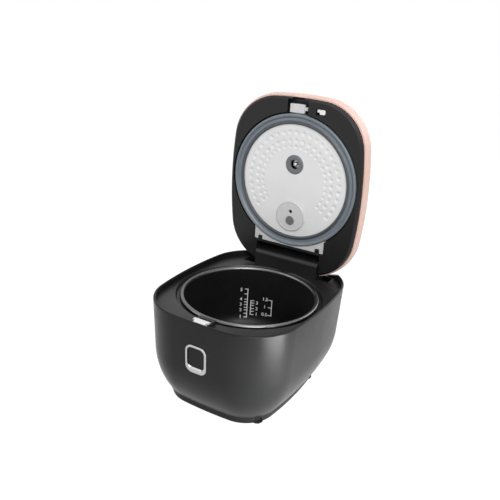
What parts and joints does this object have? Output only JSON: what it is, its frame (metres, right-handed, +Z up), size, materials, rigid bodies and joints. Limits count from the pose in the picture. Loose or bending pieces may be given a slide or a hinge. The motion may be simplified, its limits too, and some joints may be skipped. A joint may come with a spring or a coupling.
{
  "type": "rice cooker",
  "caption": "Rounded rice cooker with a hinged lid standing open, a lift-out pot, a ringed inner lid and a front release button.",
  "frame": {"origin": "table height under the middle of the cooker with its lid open", "axes": "+X to the right seen from the front, +Y to the hinge at the back, +Z up"},
  "size_m": [0.2422, 0.3081, 0.4431],
  "materials": {
    "outer_shell": "fine matt",
    "base_tray": "matt",
    "rubber_feet": "matt",
    "base_screws": "plain",
    "deck_ring": "satin",
    "inner_pot": "dark coating",
    "inner_liner": "plain sheet",
    "heating_plate": "cast",
    "heater_element": "dull",
    "plate_posts": "plain",
    "sensor_housing": "matt",
    "sensor_cap": "satin",
    "sensor_spring": "wire",
    "thermal_fuse": "plain",
    "button_frame": "satin plated",
    "release_button": "fine matt",
    "latch_hook": "smooth",
    "latch_housing": "satin",
    "latch_spring": "wire",
    "hinge_housing": "satin",
    "hinge_pin": "turned",
    "hinge_spring": "wire",
    "power_inlet": "satin",
    "inlet_pins": "plated",
    "power_board": "board",
    "board_parts": "moulded",
    "lid_cover": "satin paint",
    "lid_liner": "satin",
    "lid_screws": "plain",
    "lid_probe": "polished",
    "control_panel": "gloss",
    "control_board": "board",
    "steam_cap": "satin",
    "inner_lid_clip": "smooth",
    "lid_sensor_pin": "smooth",
    "sensor_pin_spring": "wire",
    "inner_lid_plate": "satin",
    "inner_lid_frame": "smooth",
    "pot_seal": "smooth silicone",
    "centre_grommet": "smooth silicone",
    "vent_cap": "smooth",
    "vent_valve": "smooth silicone"
  },
  "bodies": {
    "base": {"outer_shell": "outer_shell", "base_tray": "base_tray", "rubber_feet": "rubber_feet", "base_screws": "base_screws", "deck_ring": "deck_ring", "inner_liner": "inner_liner", "heating_plate": "heating_plate", "heater_element": "heater_element", "plate_posts": "plate_posts", "sensor_housing": "sensor_housing", "sensor_spring": "sensor_spring", "thermal_fuse": "thermal_fuse", "button_frame": "button_frame", "latch_housing": "latch_housing", "latch_spring": "latch_spring", "hinge_housing": "hinge_housing", "hinge_pin": "hinge_pin", "hinge_spring": "hinge_spring", "power_inlet": "power_inlet", "inlet_pins": "inlet_pins", "power_board": "power_board", "board_parts": "board_parts"},
    "pot": {"inner_pot": "inner_pot"},
    "button": {"release_button": "release_button"},
    "latch": {"latch_hook": "latch_hook"},
    "sensor": {"sensor_cap": "sensor_cap"},
    "lid": {"lid_cover": "lid_cover", "lid_liner": "lid_liner", "lid_screws": "lid_screws", "lid_probe": "lid_probe", "control_panel": "control_panel", "control_board": "control_board", "sensor_pin_spring": "sensor_pin_spring"},
    "inner_lid": {"inner_lid_plate": "inner_lid_plate", "inner_lid_frame": "inner_lid_frame", "pot_seal": "pot_seal", "centre_grommet": "centre_grommet", "vent_cap": "vent_cap", "vent_valve": "vent_valve"},
    "clip": {"inner_lid_clip": "inner_lid_clip"},
    "lid_pin": {"lid_sensor_pin": "lid_sensor_pin"},
    "steam_outlet": {"steam_cap": "steam_cap"}
  },
  "joints": [
    {"name": "lid_hinge", "type": "hinge", "parent": "base", "child": "lid", "pos_m": [0, 0.1211, 0.1714], "axis": [-1, 0, 0], "range_deg": [-89, 0], "stiffness_Nm_per_rad": 0.7, "springref_deg": 28.65},
    {"name": "pot_lift", "type": "slide", "parent": "base", "child": "pot", "axis": [0, 0, 1], "range_m": [0, 0.12]},
    {"name": "button_press", "type": "slide", "parent": "base", "child": "button", "axis": [0, 0.9989, 0.0459], "range_m": [0, 0.0025], "stiffness_N_per_m": 1200, "springref_m": -0.001},
    {"name": "latch_slide", "type": "slide", "parent": "base", "child": "latch", "axis": [0, 1, 0], "range_m": [0, 0.0025], "deforming": ["latch_spring"]},
    {"name": "sensor_press", "type": "slide", "parent": "base", "child": "sensor", "axis": [0, 0, -1], "range_m": [0, 0.003], "stiffness_N_per_m": 600, "springref_m": -0.002, "deforming": ["sensor_spring"]},
    {"name": "inner_lid_tilt", "type": "hinge", "parent": "lid", "child": "inner_lid", "pos_m": [0, 0.10918, 0.2013], "axis": [1, 0, 0], "range_deg": [0, 6]},
    {"name": "clip_slide", "type": "slide", "parent": "lid", "child": "clip", "axis": [0, -0.0175, 0.9998], "range_m": [0, 0.003], "stiffness_N_per_m": 500, "springref_m": -0.001},
    {"name": "lid_pin_press", "type": "slide", "parent": "lid", "child": "lid_pin", "axis": [0, 0.9998, 0.0175], "range_m": [0, 0.0025], "stiffness_N_per_m": 500, "springref_m": -0.001, "deforming": ["sensor_pin_spring"]},
    {"name": "steam_cap_pull", "type": "slide", "parent": "lid", "child": "steam_outlet", "axis": [0, 0.9998, 0.0175], "range_m": [0, 0.022]}
  ],
  "couplings": [
    {"joint": "latch_slide", "follows": "button_press", "ratio": 1}
  ]
}
